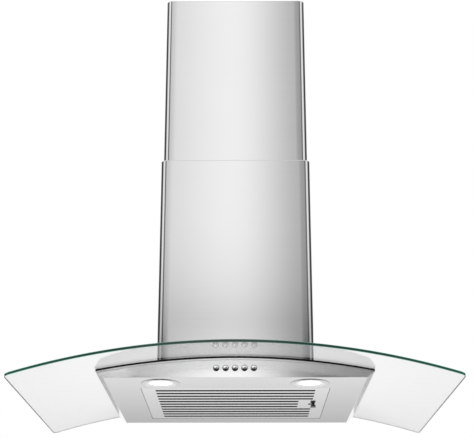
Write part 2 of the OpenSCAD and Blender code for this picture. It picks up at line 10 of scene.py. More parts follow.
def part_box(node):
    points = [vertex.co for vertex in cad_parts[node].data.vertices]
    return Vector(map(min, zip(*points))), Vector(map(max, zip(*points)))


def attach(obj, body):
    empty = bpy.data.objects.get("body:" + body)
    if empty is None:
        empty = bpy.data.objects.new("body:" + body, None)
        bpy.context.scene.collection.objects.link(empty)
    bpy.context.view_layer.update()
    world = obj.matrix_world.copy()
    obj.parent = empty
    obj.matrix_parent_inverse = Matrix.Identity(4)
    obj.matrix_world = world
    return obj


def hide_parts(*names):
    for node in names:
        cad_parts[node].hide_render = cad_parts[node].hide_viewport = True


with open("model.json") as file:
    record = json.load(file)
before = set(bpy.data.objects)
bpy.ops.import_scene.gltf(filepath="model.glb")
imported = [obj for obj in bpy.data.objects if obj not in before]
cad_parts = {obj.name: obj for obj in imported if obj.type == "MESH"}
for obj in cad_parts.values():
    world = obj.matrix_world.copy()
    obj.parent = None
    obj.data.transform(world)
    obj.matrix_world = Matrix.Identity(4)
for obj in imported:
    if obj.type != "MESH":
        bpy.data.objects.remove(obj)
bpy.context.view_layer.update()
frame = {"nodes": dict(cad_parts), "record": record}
MM = 0.001


# ---------- Sizes taken from the frame ----------

glass_low, glass_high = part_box("glass_canopy")
GLASS_T = 6 * MM
GLASS_HALF = (glass_high.x - glass_low.x) / 2
GLASS_SAG = glass_high.z - glass_low.z - GLASS_T
GLASS_R = (GLASS_HALF**2 + GLASS_SAG**2) / (2 * GLASS_SAG)
BEND_Z = glass_high.z - GLASS_T - GLASS_R
filter_low, filter_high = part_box("filter_face")
UNDER_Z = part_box("body_tray")[0].z
LENS_R = 27 * MM


def bend_height(x, layer):
    """Height of a curved layer of the canopy: layer is its distance above the glass's underside."""
    return BEND_Z + math.sqrt((GLASS_R + layer) ** 2 - x * x)


# ---------- Node helpers ----------

class Nodes:
    """Short way to add linked shader nodes to one tree."""

    def __init__(self, tree):
        self.tree = tree
        tree.nodes.clear()

    def add(self, kind, inputs=None, **settings):
        node = self.tree.nodes.new(kind)
        for name, value in settings.items():
            setattr(node, name, value)
        for name, value in (inputs or {}).items():
            self.put(node.inputs[name], value)
        return node

    def put(self, socket, value):
        if isinstance(value, bpy.types.NodeSocket):
            self.tree.links.new(value, socket)
        else:
            socket.default_value = value

    def math(self, operation, a, b=0.0, clamp=False):
        return self.add("ShaderNodeMath", {0: a, 1: b}, operation=operation, use_clamp=clamp).outputs[0]

    def times(self, a, b):
        return self.math("MULTIPLY", a, b)

    def fade(self, value, start, end, low=0.0, high=1.0, kind="LINEAR"):
        """Goes from low to high while the value goes from start to end, and stays level outside."""
        inputs = {"Value": value, "From Min": start, "From Max": end, "To Min": low, "To Max": high}
        return self.add("ShaderNodeMapRange", inputs, interpolation_type=kind).outputs[0]

    def spread(self, value, low, high):
        """Maps 0..1 to low..high."""
        return self.fade(value, 0.0, 1.0, low, high)

    def here(self):
        """Place in the object's own metres."""
        return self.add("ShaderNodeTexCoord").outputs["Object"]

    def split(self, vector):
        """The X, Y and Z sockets of a vector."""
        return self.add("ShaderNodeSeparateXYZ", {"Vector": vector}).outputs[:]

    def join(self, x, y, z):
        return self.add("ShaderNodeCombineXYZ", {"X": x, "Y": y, "Z": z}).outputs[0]

    def noise(self, vector, scale, detail=3.0, roughness=0.5):
        inputs = {"Vector": vector, "Scale": scale, "Detail": detail, "Roughness": roughness}
        return self.add("ShaderNodeTexNoise", inputs).outputs["Fac"]

    def stretched(self, vector, scale):
        return self.add("ShaderNodeMapping", {"Vector": vector, "Scale": scale}).outputs[0]

    def blend(self, factor, a, b):
        """Grey level that goes from a to b with the factor."""
        mix = self.add("ShaderNodeMix", {0: factor, 2: a, 3: b}, data_type="FLOAT")
        return mix.outputs[0]

    def blend_colours(self, factor, a, b, blend_type="MIX"):
        mix = self.add("ShaderNodeMix", data_type="RGBA", blend_type=blend_type)
        for socket, value in ((0, factor), (6, a), (7, b)):
            self.put(mix.inputs[socket], value)
        return mix.outputs[2]

    def tint(self, colour, amount):
        """The colour, multiplied by a grey amount from a socket."""
        return self.blend_colours(1.0, (*colour, 1.0), amount, "MULTIPLY")

    def bump(self, height, strength, distance):
        inputs = {"Height": height, "Strength": strength, "Distance": distance}
        return self.add("ShaderNodeBump", inputs).outputs[0]


def new_material(name):
    material = bpy.data.materials.new(name)
    material.use_nodes = True
    return material, Nodes(material.node_tree)


def close_material(n, shader_inputs):
    """Ends a material's tree with its shader and output."""
    shader = n.add("ShaderNodeBsdfPrincipled", shader_inputs)
    n.add("ShaderNodeOutputMaterial", {"Surface": shader.outputs[0]})


# ---------- Materials ----------

def brushed_steel(name, colour, grain, roughness, tangent, stretch):
    """Brushed stainless steel. grain is the scale of the brush lines along X, Y and Z.

    tangent runs across the brush lines, where reflections are stretched by the amount stretch.
    """
    material, n = new_material(name)
    here = n.here()
    fine = n.noise(n.stretched(here, grain), 1.0, 4.0, 0.65)
    coarse = n.noise(n.stretched(here, [g * 0.2 for g in grain]), 1.0, 3.0, 0.6)
    lines = n.math("ADD", n.times(fine, 0.6), n.times(coarse, 0.4))
    cloud = n.noise(here, 6.0, 2.0)
    shade = n.times(n.spread(lines, 0.955, 1.045), n.spread(cloud, 0.98, 1.02))
    rough = n.math("ADD", n.spread(lines, roughness * 0.6, roughness * 1.4), n.spread(cloud, -0.01, 0.01))
    close_material(n, {
        "Base Color": n.tint(colour, shade),
        "Metallic": 1.0,
        "Roughness": rough,
        "Anisotropic": stretch,
        "Tangent": n.join(*tangent),
        "Normal": n.bump(lines, 0.03, 0.0004),
    })
    return material


def sheet_metal(name, colour, roughness):
    """Zinc-coated sheet with large pale crystals."""
    material, n = new_material(name)
    here = n.here()
    cells = n.add("ShaderNodeTexVoronoi", {"Vector": here, "Scale": 90.0}).outputs["Color"]
    grey = n.add("ShaderNodeRGBToBW", {"Color": cells}).outputs[0]
    fine = n.noise(here, 400.0, 3.0)
    crystals = n.spread(grey, roughness - 0.08, roughness + 0.08)
    close_material(n, {
        "Base Color": n.tint(colour, n.spread(grey, 0.94, 1.06)),
        "Metallic": 1.0,
        "Roughness": n.math("ADD", crystals, n.spread(fine, -0.03, 0.03)),
        "Normal": n.bump(fine, 0.06, 0.0003),
    })
    return material


def moulded_plastic(name, colour, roughness, grain=1400.0, bump=0.25):
    """Moulded plastic with a fine spark-eroded texture."""
    material, n = new_material(name)
    here = n.here()
    grit = n.noise(here, grain, 2.0)
    cloud = n.noise(here, 25.0, 3.0)
    sparkle = n.spread(grit, roughness - 0.08, roughness + 0.08)
    close_material(n, {
        "Base Color": n.tint(colour, n.spread(cloud, 0.9, 1.1)),
        "Roughness": n.math("ADD", sparkle, n.spread(cloud, -0.03, 0.03)),
        "Normal": n.bump(grit, bump, 0.0002),
    })
    return material


def painted_dome_shade(n):
    """Painted shade: darker where a dome on the front turns down or away from the front."""
    x, y, z = n.split(n.add("ShaderNodeNewGeometry").outputs["Normal"])
    edge = n.fade(n.math("ABSOLUTE", y), 0.81, 0.88, 0.2, 1.0)
    down = n.fade(z, -0.25, 0.12, 0.25, 1.0)
    return n.times(edge, down)


def polished_metal(name, colour, roughness, with_painted_shade=False):
    """Chrome or polished metal with faint polishing marks. A domed cap can get painted shade where it turns
    down or away.
    """
    material, n = new_material(name)
    here = n.here()
    marks = n.noise(here, 900.0, 4.0)
    cloud = n.noise(here, 60.0, 2.0)
    shade = n.spread(cloud, 0.95, 1.03)
    # Painted shade on a domed cap
    if with_painted_shade:
        shade = n.times(shade, painted_dome_shade(n))
    scuffs = n.spread(marks, roughness - 0.02, roughness + 0.05)
    close_material(n, {
        "Base Color": n.tint(colour, shade),
        "Metallic": 1.0,
        "Roughness": n.math("ADD", scuffs, n.spread(cloud, 0.0, 0.03)),
        "Normal": n.bump(marks, 0.02, 0.0002),
    })
    return material


def rubber(name, colour):
    """Matt black rubber with fine pores."""
    material, n = new_material(name)
    here = n.here()
    pores = n.noise(here, 1500.0, 4.0, 0.7)
    cloud = n.noise(here, 40.0, 2.0)
    close_material(n, {
        "Base Color": n.tint(colour, n.spread(cloud, 0.8, 1.3)),
        "Roughness": n.math("ADD", n.spread(pores, 0.62, 0.8), n.spread(cloud, -0.04, 0.04)),
        "Specular IOR Level": 0.12,
        "Normal": n.bump(pores, 0.3, 0.0002),
    })
    return material


def rim_green_and_painted_light(n, here, across):
    """Dark green of the glass's front rim, with painted light: paler towards the two faces and the outer ends.
    """
    x, y, z = n.split(here)
    spoke = n.join(x, 0.0, n.math("SUBTRACT", z, BEND_Z))
    radius = n.add("ShaderNodeVectorMath", {"Vector": spoke}, operation="LENGTH").outputs["Value"]
    from_middle = n.math("ABSOLUTE", n.math("SUBTRACT", radius, GLASS_R + GLASS_T / 2))
    # Painted highlights along the two arrises, paler than the dark core
    painted_arris_light = n.fade(from_middle, 0.25 * GLASS_T, 0.5 * GLASS_T, 1.0, 10.0, "SMOOTHSTEP")
    # Painted light from the sides, paler towards the outer ends
    painted_end_light = n.fade(across, 0.0, GLASS_HALF, 0.6, 2.4)
    streak = n.noise(n.stretched(here, (30.0, 3.0, 3.0)), 1.0, 3.0)
    shade = n.times(n.times(n.spread(streak, 0.8, 1.2), painted_end_light), painted_arris_light)
    return n.tint((0.012, 0.030, 0.024), shade)


def sheet_tint_and_painted_shade(n, back, across):
    """Clear tint of the glass sheet, with painted shade: a little darker towards its back and its outer edges.
    """
    rear = n.fade(back, glass_low.y, glass_high.y)
    # Painted shade, darker towards the back and the outer edges
    painted_back_shade = n.math("SUBTRACT", 1.02, n.times(n.times(rear, rear), 0.16))
    outer = n.fade(across, 0.25, GLASS_HALF, 1.0, 0.92)
    return n.tint((0.876, 0.883, 0.880), n.times(painted_back_shade, outer))


def clear_glass(name):
    """Clear tempered glass. Its polished front rim shows the dark green of thick glass seen edge on."""
    material, n = new_material(name)
    nx, ny, nz = n.split(n.add("ShaderNodeNewGeometry").outputs["True Normal"])
    front = n.math("LESS_THAN", ny, -0.5)
    rim = n.math("LESS_THAN", n.math("ABSOLUTE", nz), 0.8)
    here = n.here()
    x, y, z = n.split(here)
    across = n.math("ABSOLUTE", x)
    clear = n.blend_colours(rim, sheet_tint_and_painted_shade(n, y, across), (0.70, 0.84, 0.78, 1.0))
    close_material(n, {
        "Base Color": n.blend_colours(front, clear, rim_green_and_painted_light(n, here, across)),
        "Roughness": n.spread(n.noise(here, 4.0), 0.0, 0.004),
        "IOR": 1.5,
        "Transmission Weight": n.math("SUBTRACT", 1.0, front),
    })
    return material


def lamp_radius(n, here):
    """Distance from the axis of the nearer lamp."""
    low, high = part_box("lamp_lens_right")
    x, y, z = n.split(here)
    side = n.math("SUBTRACT", n.math("ABSOLUTE", x), (low.x + high.x) / 2)
    depth = n.math("SUBTRACT", y, (low.y + high.y) / 2)
    return n.math("SQRT", n.math("ADD", n.times(side, side), n.times(depth, depth)))


LAMP_WHITE = (1.0, 0.985, 0.95, 1.0)


def lamp_ring(name):
    """Satin lamp ring: painted lamp light glows on its inner slope, and a painted shadow line runs round its
    outer edge.
    """
    material, n = new_material(name)
    here = n.here()
    marks = n.noise(here, 900.0, 4.0)
    cloud = n.noise(here, 60.0, 2.0)
    out = lamp_radius(n, here)
    low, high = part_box("lamp_ring_right")
    edge = (high.x - low.x) / 2
    # Painted shadow round the ring's outer edge, where it meets the tray
    painted_edge_shadow = n.fade(out, edge - 2.2 * MM, edge - 1.2 * MM, 1.0, 0.65)
    close_material(n, {
        "Base Color": n.tint((0.74, 0.74, 0.745), n.times(n.spread(cloud, 0.97, 1.03), painted_edge_shadow)),
        "Metallic": 1.0,
        "Roughness": n.math("ADD", n.spread(marks, 0.22, 0.29), n.spread(cloud, 0.0, 0.03)),
        # Painted light: the ring glows on its inner slope as if lit by the lens, though it is no lamp
        "Emission Color": LAMP_WHITE,
        "Emission Strength": n.fade(out, LENS_R, LENS_R + 6 * MM, 0.15, 0.0),
        "Normal": n.bump(marks, 0.02, 0.0002),
    })
    return material


def lit_lens(name):
    """Frosted lamp lens, lit from behind: brightest in the middle."""
    material, n = new_material(name)
    here = n.here()
    frost = n.noise(here, 700.0, 3.0)
    close_material(n, {
        "Base Color": n.tint((0.85, 0.85, 0.835), n.spread(frost, 0.95, 1.0)),
        "Roughness": n.spread(frost, 0.3, 0.45),
        "Emission Color": LAMP_WHITE,
        "Emission Strength": n.fade(lamp_radius(n, here), 16 * MM, 26 * MM, 1.2, 0.12, "SMOOTHSTEP"),
        "Normal": n.bump(frost, 0.15, 0.0002),
    })
    return material


def expanded_mesh(name):
    """Layers of expanded aluminium with diamond openings, with painted shade: near black as they lie in shade
    behind the slots, and dark between the strands.
    """
    material, n = new_material(name)
    here = n.here()
    x, y, z = n.split(here)
    x = n.times(x, 2 * math.pi / (6 * MM))
    y = n.times(y, 2 * math.pi / (4 * MM))
    one = n.math("ABSOLUTE", n.math("SINE", n.times(n.math("ADD", x, y), 0.5)))
    two = n.math("ABSOLUTE", n.math("SINE", n.times(n.math("SUBTRACT", x, y), 0.5)))
    hole = n.times(one, two)
    strand = n.math("SUBTRACT", 1.0, n.math("SMOOTH_MIN", hole, 1.0), clamp=True)
    close_material(n, {
        # Painted shade: the mesh is near black because it lies in shade behind the filter's slots
        "Base Color": n.tint((0.012, 0.012, 0.0125), n.spread(strand, 0.2, 1.0)),
        "Roughness": n.spread(strand, 0.95, 0.7),
        "Specular IOR Level": 0.1,
        "Normal": n.bump(strand, 0.8, 0.0008),
    })
    return material


def copper_winding(name):
    """Varnished copper wire wound round and round."""
    material, n = new_material(name)
    here = n.here()
    wires = n.add("ShaderNodeTexWave", {"Vector": here, "Scale": 300.0, "Distortion": 2.0}).outputs["Fac"]
    close_material(n, {
        "Base Color": n.tint((0.55, 0.22, 0.09), n.spread(wires, 0.55, 1.15)),
        "Metallic": 0.7,
        "Roughness": n.spread(wires, 0.45, 0.28),
        "Normal": n.bump(wires, 0.5, 0.0005),
    })
    return material


UP = (0.0, 0.0, 1.0)
UP_AND_BACK = (0.0, 0.707, 0.707)
wall_steel = brushed_steel("cover_steel", (0.64, 0.64, 0.645), (3.0, 3.0, 900.0), 0.09, UP, 0.5)
panel_steel = brushed_steel("panel_steel", (0.79, 0.79, 0.795), (3.0, 700.0, 900.0), 0.1, UP, 0.9)
side_steel = brushed_steel("tray_steel", (0.72, 0.72, 0.725), (3.0, 700.0, 700.0), 0.09, UP_AND_BACK, 0.2)
filter_steel = brushed_steel("filter_steel", (0.84, 0.84, 0.845), (3.0, 800.0, 800.0), 0.1,
                             UP_AND_BACK, 0.2)
zinc = sheet_metal("zinc_sheet", (0.60, 0.61, 0.62), 0.38)
wheel_zinc = sheet_metal("wheel_zinc", (0.42, 0.43, 0.44), 0.45)
paint = moulded_plastic("motor_enamel", (0.11, 0.115, 0.125), 0.35, 500.0, 0.1)
black_plastic = moulded_plastic("black_plastic", (0.028, 0.028, 0.03), 0.45)
white_plastic = moulded_plastic("white_plastic", (0.78, 0.78, 0.76), 0.45)
board = moulded_plastic("lamp_board", (0.82, 0.80, 0.62), 0.4)
bolt_steel = polished_metal("bolt_steel", (0.52, 0.52, 0.53), 0.25)
chrome = polished_metal("button_chrome", (0.92, 0.92, 0.93), 0.15, with_painted_shade=True)
ring_steel = lamp_ring("ring_steel")
drawn_aluminium = polished_metal("drawn_aluminium", (0.74, 0.74, 0.75), 0.3)
seal = rubber("seal_rubber", (0.004, 0.004, 0.004))
sheath = rubber("cable_sheath", (0.012, 0.012, 0.013))
glass = clear_glass("canopy_glass")
lens_glass = lit_lens("lamp_lens_lit")
mesh_metal = expanded_mesh("filter_mesh_metal")
copper = copper_winding("winding")

BY_SLOT = {
    "brushed_steel": side_steel, "galvanised_steel": zinc, "glass": glass, "rubber": seal,
    "fastener_steel": bolt_steel, "black_plastic": black_plastic, "white_plastic": white_plastic,
    "motor_paint": paint, "copper_winding": copper, "impeller_steel": wheel_zinc,
    "aluminium": drawn_aluminium, "filter_mesh": mesh_metal, "chrome": chrome,
    "lamp_lens": lens_glass, "lamp_board": board, "cable": sheath,
}


def dress_frame():
    """Gives every CAD node the material of its slot."""
    for row in frame["record"]["subparts"]:
        obj = frame["nodes"][row["node"]]
        obj.data.materials.clear()
        obj.data.materials.append(BY_SLOT[row["material_slot"]])


# ---------- Mesh helpers ----------

def piece_from(bm, name, material, body, replaced=(), angle=35):
    """Turns a bmesh into a piece of the object that rides on a body."""
    bmesh.ops.remove_doubles(bm, verts=bm.verts, dist=1e-6)
    bmesh.ops.recalc_face_normals(bm, faces=bm.faces)
    mesh = bpy.data.meshes.new(name)
    bm.to_mesh(mesh)
    bm.free()
    mesh.polygons.foreach_set("use_smooth", [True] * len(mesh.polygons))
    mesh.set_sharp_from_angle(angle=math.radians(angle))
    mesh.materials.append(material)
    obj = bpy.data.objects.new(name, mesh)
    bpy.context.collection.objects.link(obj)
    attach(obj, body)
    if replaced:
        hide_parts(*replaced)
    return obj


def soften_edges(obj, width, segments, limit=30):
    """Rounds a piece's sharp edges a little, as folded or polished edges are."""
    bevel = obj.modifiers.new("edge", "BEVEL")
    bevel.width = width
    bevel.segments = segments
    bevel.limit_method = "ANGLE"
    bevel.angle_limit = math.radians(limit)
    bevel.harden_normals = True


def skin(bm, rows, closed_rows=False, closed_columns=False):
    """Joins rows of points with quads and returns the rows as vertices."""
    grid = [[bm.verts.new(p) for p in row] for row in rows]
    count, width = len(grid), len(grid[0])
    for i in range(count if closed_rows else count - 1):
        for j in range(width if closed_columns else width - 1):
            a, b = grid[i], grid[(i + 1) % count]
            k = (j + 1) % width
            bm.faces.new((a[j], a[k], b[k], b[j]))
    return grid


def rounded_corner_path(half_w, half_d, r, steps):
    """Points and outward normals round a rectangle with rounded corners, seen from above."""
    path = []
    for quarter, (sx, sy) in enumerate(((1, -1), (1, 1), (-1, 1), (-1, -1))):
        centre = (sx * (half_w - r), sy * (half_d - r))
        for i in range(steps + 1):
            angle = math.radians(-90 + 90 * quarter + 90 * i / steps)
            normal = (math.cos(angle), math.sin(angle))
            path.append((centre[0] + r * normal[0], centre[1] + r * normal[1], *normal))
    return path


def lathe(profile, steps):
    """Surface of revolution about +Z from (radius, height) points."""
    bm = bmesh.new()
    rows = []
    for i in range(steps):
        a = 2 * math.pi * i / steps
        rows.append([Vector((r * math.cos(a), r * math.sin(a), z)) for r, z in profile])
    skin(bm, rows, closed_rows=True)
    bmesh.ops.remove_doubles(bm, verts=bm.verts, dist=1e-7)
    bmesh.ops.dissolve_degenerate(bm, edges=bm.edges, dist=1e-7)
    return bm


def arc(cx, cz, r, start, end, steps):
    """Points on a circle between two angles in degrees."""
    angles = [math.radians(start + (end - start) * i / steps) for i in range(steps + 1)]
    return [(cx + r * math.cos(a), cz + r * math.sin(a)) for a in angles]


# ---------- Glass canopy ----------

CUT_HALF_X, CUT_HALF_Y, CUT_R = 125 * MM, 95 * MM, 15 * MM
GLASS_CORNER_R = 12 * MM


def glass_columns():
    """X positions across the glass, closer together at the rounded corners."""
    xs = [GLASS_HALF * i / 60 for i in range(61)]
    xs += [GLASS_HALF - GLASS_CORNER_R * (1 - math.cos(math.radians(9 * i))) for i in range(11)]
    xs += [CUT_HALF_X - CUT_R * (1 - math.cos(math.radians(15 * i))) for i in range(7)]
    xs = sorted({round(x, 7) for x in xs})
    closest = 0.12 * MM
    kept = [xs[0]]
    for x in xs[1:]:
        if x - kept[-1] > closest:
            kept.append(x)
    return [-x for x in reversed(kept[1:])] + kept


def inset_at(x, half, r):
    """How far a rounded corner pulls an edge in at x."""
    past = abs(x) - (half - r)
    return 0.0 if past <= 0 else r - math.sqrt(max(r * r - min(past, r) ** 2, 0.0))


def glass_canopy():
    """Bent sheet with rounded corners and an opening for the blower box."""
    bm = bmesh.new()
    xs = glass_columns()
    layers = []
    for layer in (0.0, GLASS_T):
        grid = []
        for x in xs:
            inset = inset_at(x, GLASS_HALF, GLASS_CORNER_R)
            cut = CUT_HALF_Y - inset_at(min(abs(x), CUT_HALF_X), CUT_HALF_X, CUT_R)
            ys = (glass_low.y + inset, -cut, cut, glass_high.y - inset)
            grid.append([bm.verts.new((x, y, bend_height(x, layer))) for y in ys])
        layers.append(grid)
    low, high = layers
    last = len(xs) - 1

    def inside(i):
        return abs(xs[i] + xs[i + 1]) / 2 < CUT_HALF_X

    for i in range(last):
        for j in range(3):
            if j == 1 and inside(i):
                continue
            for grid in layers:
                bm.faces.new((grid[i][j], grid[i + 1][j], grid[i + 1][j + 1], grid[i][j + 1]))
        for j in (0, 3):
            bm.faces.new((low[i][j], low[i + 1][j], high[i + 1][j], high[i][j]))
        if inside(i):
            for j in (1, 2):
                bm.faces.new((low[i][j], low[i + 1][j], high[i + 1][j], high[i][j]))
    for i in (0, last):
        for j in range(3):
            bm.faces.new((low[i][j], low[i][j + 1], high[i][j + 1], high[i][j]))
    for i in range(1, last):
        if inside(i) != inside(i - 1):
            bm.faces.new((low[i][1], low[i][2], high[i][2], high[i][1]))
    sheet = piece_from(bm, "bent_glass", glass, "hood", ["glass_canopy"])
    soften_edges(sheet, 0.7 * MM, 3, 40)


# ---------- Chimney covers ----------

COVER_R = 13 * MM
COVER_T = 1.0 * MM
UPPER_HEM, LOWER_HEM = 1.6 * MM, 3.8 * MM
CORNER_STEPS, FRONT_STEPS = 12, 24


def half_path(half_w, half_d, gap):
    """Front half of a cover in plan, from the right seam round the front to the left seam."""
    flat = half_w - COVER_R

    def corner(side, start):
        points = []
        for i in range(CORNER_STEPS + 1):
            a = math.radians(start - 90 * i / CORNER_STEPS)
            nx, ny = math.cos(a), math.sin(a)
            points.append((side * flat + COVER_R * nx, -half_d + COVER_R + COVER_R * ny, nx, ny))
        return points

    front = [(flat - 2 * flat * i / FRONT_STEPS, -half_d, 0.0, -1.0) for i in range(1, FRONT_STEPS)]
    return [(half_w, -gap, 1.0, 0.0), *corner(1, 0), *front, *corner(-1, -90), (-half_w, -gap, -1.0, 0.0)]


def cover_profile(top, hem):
    """Section of a cover's wall from its foot up to a hemmed top, as (inset, height, at foot).

    The row just under the hem keeps the wall's shading flat.
    """
    r = hem / 2
    fold = [(r - r * math.cos(math.radians(a)), top - r + r * math.sin(math.radians(a)), False)
            for a in range(0, 181, 30)]
    hem_foot = top - 14 * MM
    inner = [(hem, hem_foot, False), (hem - 0.8 * MM, hem_foot, False), (COVER_T, top - 4 * MM, False)]
    return [(0.0, 0.0, True), (0.0, top - r - 0.5 * MM, False), *fold, *inner, (COVER_T, 0.0, True)]


def cover_half(name, node, body, foot, hem, rear):
    """One folded half of a cover. foot gives the height of its lower edge at x."""
    low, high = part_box(node)
    half_w = (high.x - low.x) / 2
    half_d = max(abs(low.y), abs(high.y))
    seam = min(abs(low.y), abs(high.y))
    bm = bmesh.new()
    rows = []
    for x, y, nx, ny in half_path(half_w, half_d, seam):
        row = []
        for inset, z, at_foot in cover_profile(high.z, hem):
            px, py = x - nx * inset, y - ny * inset
            row.append((px, -py if rear else py, foot(px) if at_foot else z))
        rows.append(row)
    grid = skin(bm, rows, closed_columns=True)
    for row in (grid[0], grid[-1]):
        bm.faces.new(row)
    sheet = piece_from(bm, name, wall_steel, body, [node], 50)
    soften_edges(sheet, 0.25 * MM, 2, 60)


def chimney():
    """Four cover sheets. The lower pair is cut along its foot to sit over the bent glass."""
    upper_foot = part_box("upper_cover_front")[0].z
    for rear in (False, True):
        side = "rear" if rear else "front"
        cover_half(f"upper_cover_{side}_sheet", f"upper_cover_{side}", "ceiling_frame",
                   lambda x: upper_foot, UPPER_HEM, rear)
        cover_half(f"lower_cover_{side}_sheet", f"lower_cover_{side}", "hood",
                   lambda x: bend_height(x, GLASS_T + 1 * MM), LOWER_HEM, rear)


# ---------- Buttons and lamps ----------

FACE_OUT = Matrix.Rotation(math.radians(90), 4, "X")
CAP_DOME = 2.2 * MM
CAP_LENGTH = 6.6 * MM
STEM_R = 3 * MM


def move_to(bm, place, turn=None):
    """Turns a mesh about the origin, then moves it."""
    if turn is not None:
        bmesh.ops.transform(bm, matrix=turn, verts=bm.verts)
    bmesh.ops.translate(bm, vec=place, verts=bm.verts)


def push_buttons():
    """Domed chrome caps with a turned edge, on their stems."""
    for name in ("button_power", "button_low", "button_medium", "button_high", "button_light"):
        low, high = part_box(name)
        r = (high.x - low.x) / 2
        front = -low.y
        tail = front - (high.y - low.y)
        neck = front - CAP_LENGTH
        sphere = (r * r + CAP_DOME * CAP_DOME) / (2 * CAP_DOME)
        rings = [(r - 0.4 * MM) * i / 8 for i in range(1, 9)]
        dome = [(out, front - sphere + math.sqrt(sphere**2 - out**2)) for out in rings]
        edge = dome[-1][1]
        profile = [(0, front), *dome, (r - 0.1 * MM, edge - 0.4 * MM), (r, edge - 0.8 * MM)]
        profile += [(r, neck), (STEM_R, neck), (STEM_R, tail), (0, tail)]
        bm = lathe(profile, 48)
        move_to(bm, ((low.x + high.x) / 2, 0, (low.z + high.z) / 2), FACE_OUT)
        piece_from(bm, name + "_cap", chrome, name, [name], 40)


def lamps():
    """Lamp rings with a gentle inner slope and a rounded outer edge, on a collar inside the tray."""
    crest, outer_wall, inner_wall, collar = 36 * MM, 35 * MM, 33.6 * MM, 2.8 * MM
    for side in ("left", "right"):
        low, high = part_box("lamp_ring_" + side)
        r = (high.x - low.x) / 2
        section = [(LENS_R, -0.1 * MM), (28.5 * MM, -0.45 * MM), (31 * MM, -0.9 * MM), (34 * MM, -1.25 * MM)]
        section += [(crest, -1.35 * MM), (r - 4 * MM, -1.3 * MM)]
        section += arc(r - 2 * MM, 0.0, 1.2 * MM, 250, 360, 6)
        section += [(outer_wall, 0.0), (outer_wall, collar), (inner_wall, collar)]
        section += [(inner_wall, 0.1 * MM), (LENS_R, 0.1 * MM)]
        bm = lathe(section, 96)
        move_to(bm, ((low.x + high.x) / 2, (low.y + high.y) / 2, UNDER_Z))
        piece_from(bm, f"lamp_bezel_{side}", ring_steel, "hood", [f"lamp_ring_{side}"], 30)


# ---------- Grease filter ----------

SLOT_PITCH, SLOT_W, SLOT_HALF, SLOT_SHORT = 29 * MM, 14 * MM, 172 * MM, 141 * MM
SLOT_COUNT = 11
SLOT_R = 2 * MM
SLOT_LIP = 0.4 * MM
FILTER_HALF_X = 201 * MM
FILTER_CORNER_R = 4 * MM
FILTER_T = 1 * MM
LATCH_X = 175 * MM
TAB_SIZE = (5.6 * MM, 24 * MM, 1.8 * MM)
TAB_Y = 110 * MM


def slot_outline(x0, x1, y, half):
    """Outline of a slot with rounded corners, anticlockwise, with outward normals."""
    mid, half_w = (x0 + x1) / 2, (x1 - x0) / 2
    return [(mid + px, y + py, nx, ny) for px, py, nx, ny in rounded_corner_path(half_w, half, SLOT_R, 4)]


def slot_rows(mid_y):
    """Outlines of the air slots. The middle three stop short of the latch."""
    slots = []
    for i in range(SLOT_COUNT):
        row = i - (SLOT_COUNT - 1) / 2
        end = SLOT_SHORT if abs(row) < 1.5 else SLOT_HALF
        y = mid_y + row * SLOT_PITCH
        slots.append(slot_outline(-SLOT_HALF - SLOT_LIP, end + SLOT_LIP, y, SLOT_W / 2 + SLOT_LIP))
    return slots


def pressed_face(mid_y):
    """Pressed steel filter face: every slot has a rolled lip that turns inwards."""
    z = filter_low.z
    height = filter_high.z - z
    half_y = (filter_high.y - filter_low.y) / 2
    outer = [(x, mid_y + y, nx, ny) for x, y, nx, ny in
             rounded_corner_path(FILTER_HALF_X, half_y, FILTER_CORNER_R, 6)]
    slots = slot_rows(mid_y)
    latch_hole = slot_outline(LATCH_X - 11 * MM, LATCH_X + 4.2 * MM, mid_y, 6.8 * MM)
    bm = bmesh.new()
    edges = []
    for loop in (outer, *slots, latch_hole):
        verts = [bm.verts.new((p[0], p[1], z)) for p in loop]
        edges += [bm.edges.new((verts[k], verts[(k + 1) % len(verts)])) for k in range(len(verts))]
    bmesh.ops.triangle_fill(bm, use_beauty=True, use_dissolve=False, edges=edges)

    def wall(loop, section):
        """A wall along a loop. section gives (inset, height) from the face inwards."""
        rows = [[(x - nx * d, y - ny * d, z + h) for d, h in section] for x, y, nx, ny in loop]
        skin(bm, rows, closed_rows=True)

    wall(outer, ((0.0, 0.0), (0.0, height)))
    wall(outer, ((0.0, height), (FILTER_T, height), (FILTER_T, FILTER_T)))
    turns = [math.radians(a) for a in (0, 30, 60, 90)]
    for slot in slots:
        wall(slot, [(SLOT_LIP * math.sin(a), SLOT_LIP * (1 - math.cos(a))) for a in turns])
    wall(latch_hole, ((0.0, 0.0), (0.0, FILTER_T)))
    piece_from(bm, "filter_pressed_face", filter_steel, "filter", ["filter_face"], 12)


def filter_panel():
    """The pressed face and the two tabs that it hangs on."""
    mid_y = (filter_low.y + filter_high.y) / 2
    pressed_face(mid_y)
    for sign, end in ((-1, "front"), (1, "back")):
        bm = bmesh.new()
        bmesh.ops.create_cube(bm, size=1.0)
        bmesh.ops.scale(bm, vec=TAB_SIZE, verts=bm.verts)
        move_to(bm, (-FILTER_HALF_X - 2.2 * MM, mid_y + sign * TAB_Y, filter_low.z + 3.1 * MM))
        tab = piece_from(bm, "filter_tab_" + end, filter_steel, "filter")
        soften_edges(tab, 0.6 * MM, 3)


# ---------- CAD nodes with softened edges ----------

FOLD_R = 3.5 * MM
FOLD_BEYOND = 260 * MM


